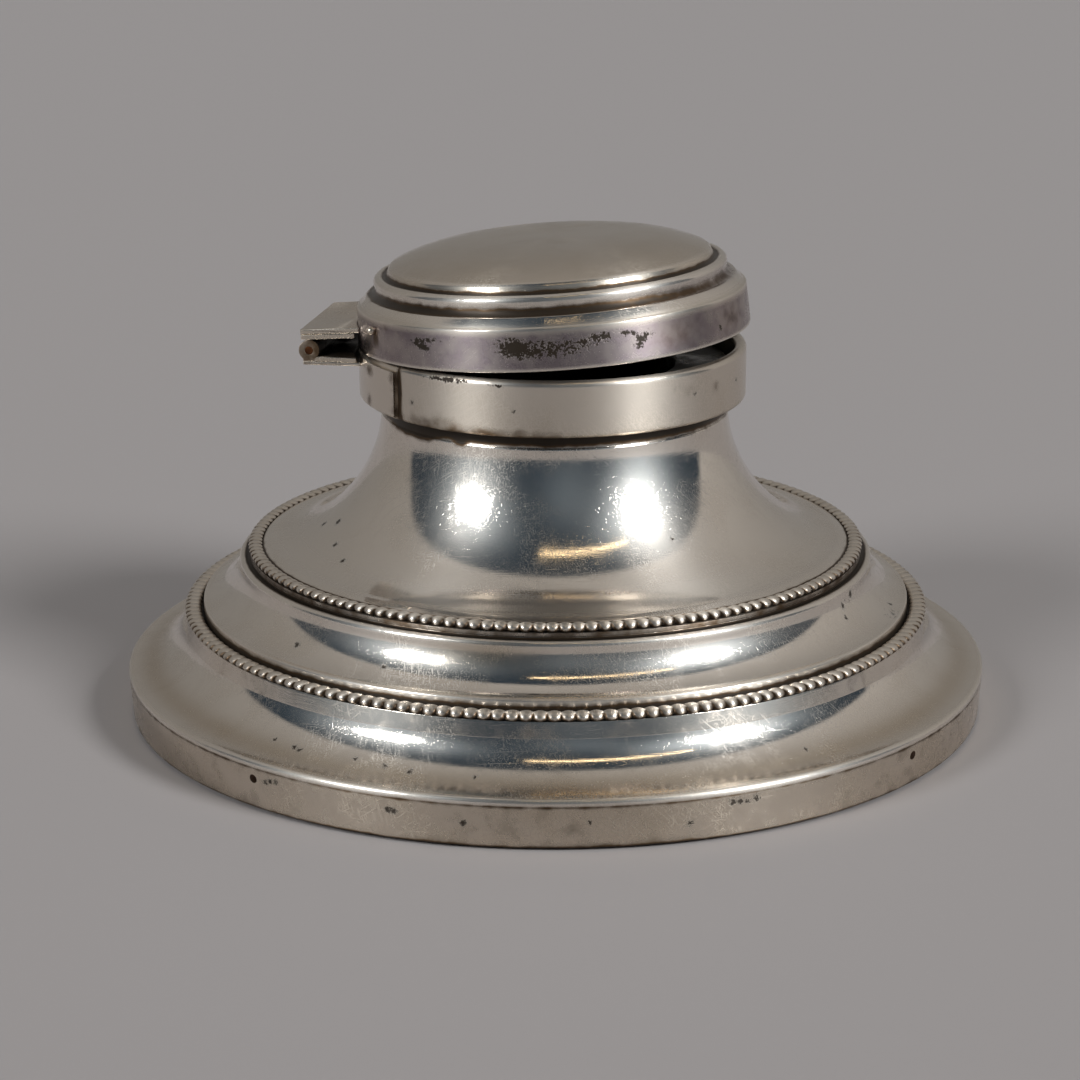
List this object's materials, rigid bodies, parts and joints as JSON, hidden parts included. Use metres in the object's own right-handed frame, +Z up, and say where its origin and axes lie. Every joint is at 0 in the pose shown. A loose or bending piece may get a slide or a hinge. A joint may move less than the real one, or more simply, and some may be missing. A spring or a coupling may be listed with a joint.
{
  "type": "desk inkstand",
  "caption": "Round capstan inkwell with stepped beaded base, waisted neck, glass liner and domed hinged lid.",
  "frame": {"origin": "centre of the underside, on the surface that the inkstand stands on", "axes": "+Z up along the body's axis; the hinge is towards -X with its pin along Y"},
  "size_m": [0.127, 0.127, 0.0698],
  "materials": {
    "body_silver": "spun and polished silver, lightly tarnished",
    "bead_silver": "beaded silver wire with dark tarnish between the beads",
    "hinge_silver": "worn silver hinge work with brown tarnish",
    "lid_silver": "polished silver with speckled tarnish on the band",
    "pin_brass": "drawn wire, dark with age",
    "brad_brass": "small brads, blackened",
    "sleeve_brass": "thin spun brass, dull",
    "plaster": "cast plaster, matt",
    "liner_glass": "clear pressed glass",
    "base_wood": "turned softwood, unpolished",
    "green_baize": "felted wool baize",
    "lining_gilt": "thin silver-gilt lining, satin"
  },
  "bodies": {
    "base": {"foot_tier": "body_silver", "middle_tier": "body_silver", "neck_shell": "body_silver", "lower_bead_border": "bead_silver", "upper_bead_border": "bead_silver", "neck_collar": "body_silver", "liner_seat": "body_silver", "hinge_saddle": "hinge_silver", "body_hinge_leaf": "hinge_silver", "body_knuckles": "hinge_silver", "hinge_pin": "pin_brass", "plaster_loading": "plaster", "well_sleeve": "sleeve_brass", "glass_liner": "liner_glass", "base_board": "base_wood", "baize_pad": "green_baize", "base_brads": "brad_brass"},
    "lid": {"lid_shell": "lid_silver", "lid_bezel": "lid_silver", "lid_lining": "lining_gilt", "lid_loading": "plaster", "lid_hinge_leaf": "hinge_silver", "lid_knuckles": "hinge_silver"}
  },
  "joints": [
    {"name": "lid_hinge", "type": "hinge", "parent": "base", "child": "lid", "pos_m": [-0.03425, 0, 0.05335], "axis": [0, -1, 0], "range_deg": [-3.6, 112]}
  ]
}
